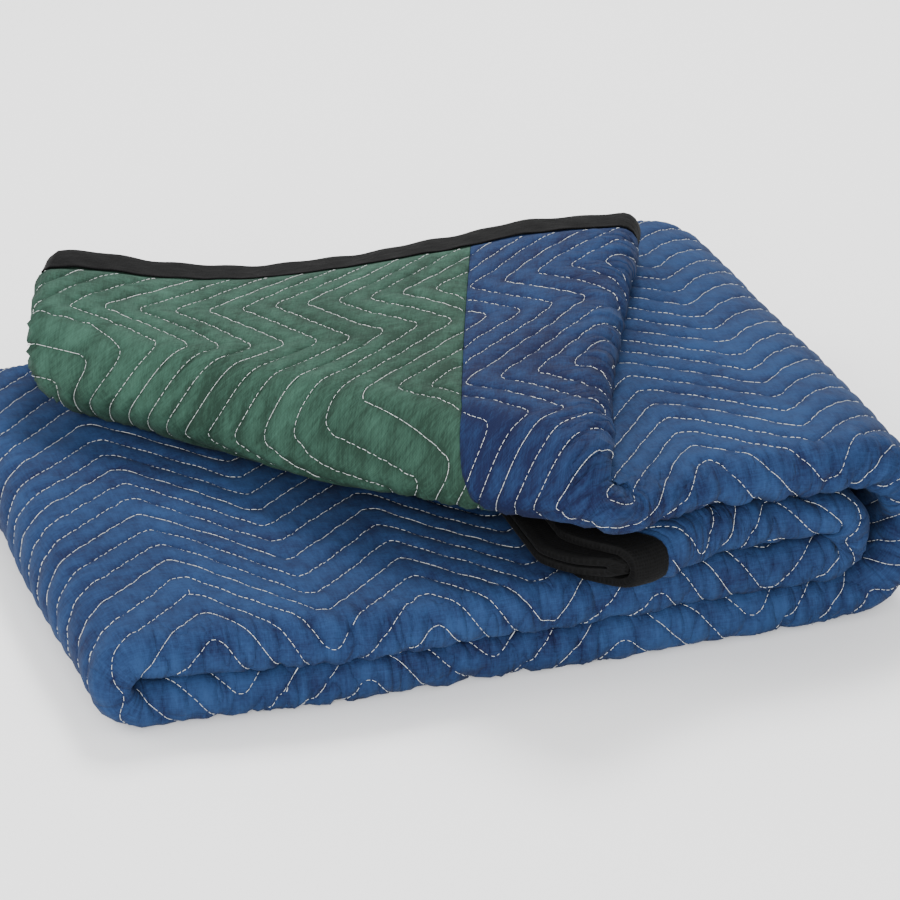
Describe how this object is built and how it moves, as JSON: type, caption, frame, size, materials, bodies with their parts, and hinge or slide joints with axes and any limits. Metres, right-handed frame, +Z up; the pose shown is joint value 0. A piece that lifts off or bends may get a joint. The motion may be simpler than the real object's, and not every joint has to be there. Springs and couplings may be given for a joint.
{
  "type": "folded moving blanket",
  "caption": "Quilted moving blanket folded lengthwise and zigzag-stacked, bound end turned back over the top.",
  "frame": {"origin": "centre of the bounding box, on the surface that the folded blanket lies on", "axes": "+X along the folded strip, +Y from the folded front towards the bound back edges, +Z up"},
  "size_m": [0.6479, 0.4992, 0.1755],
  "materials": {
    "blue_quilting": "matt woven polyester",
    "green_quilting": "matt woven polyester",
    "black_binding": "matt woven tape",
    "stitching": "off-white thread"
  },
  "bodies": {
    "root": {"panel_blue_outer": "blue_quilting", "panel_green": "green_quilting", "panel_blue_inner": "blue_quilting", "binding_flap_end": "black_binding", "binding_inner_end": "black_binding", "binding_first_side": "black_binding", "binding_last_side": "black_binding"}
  },
  "joints": []
}
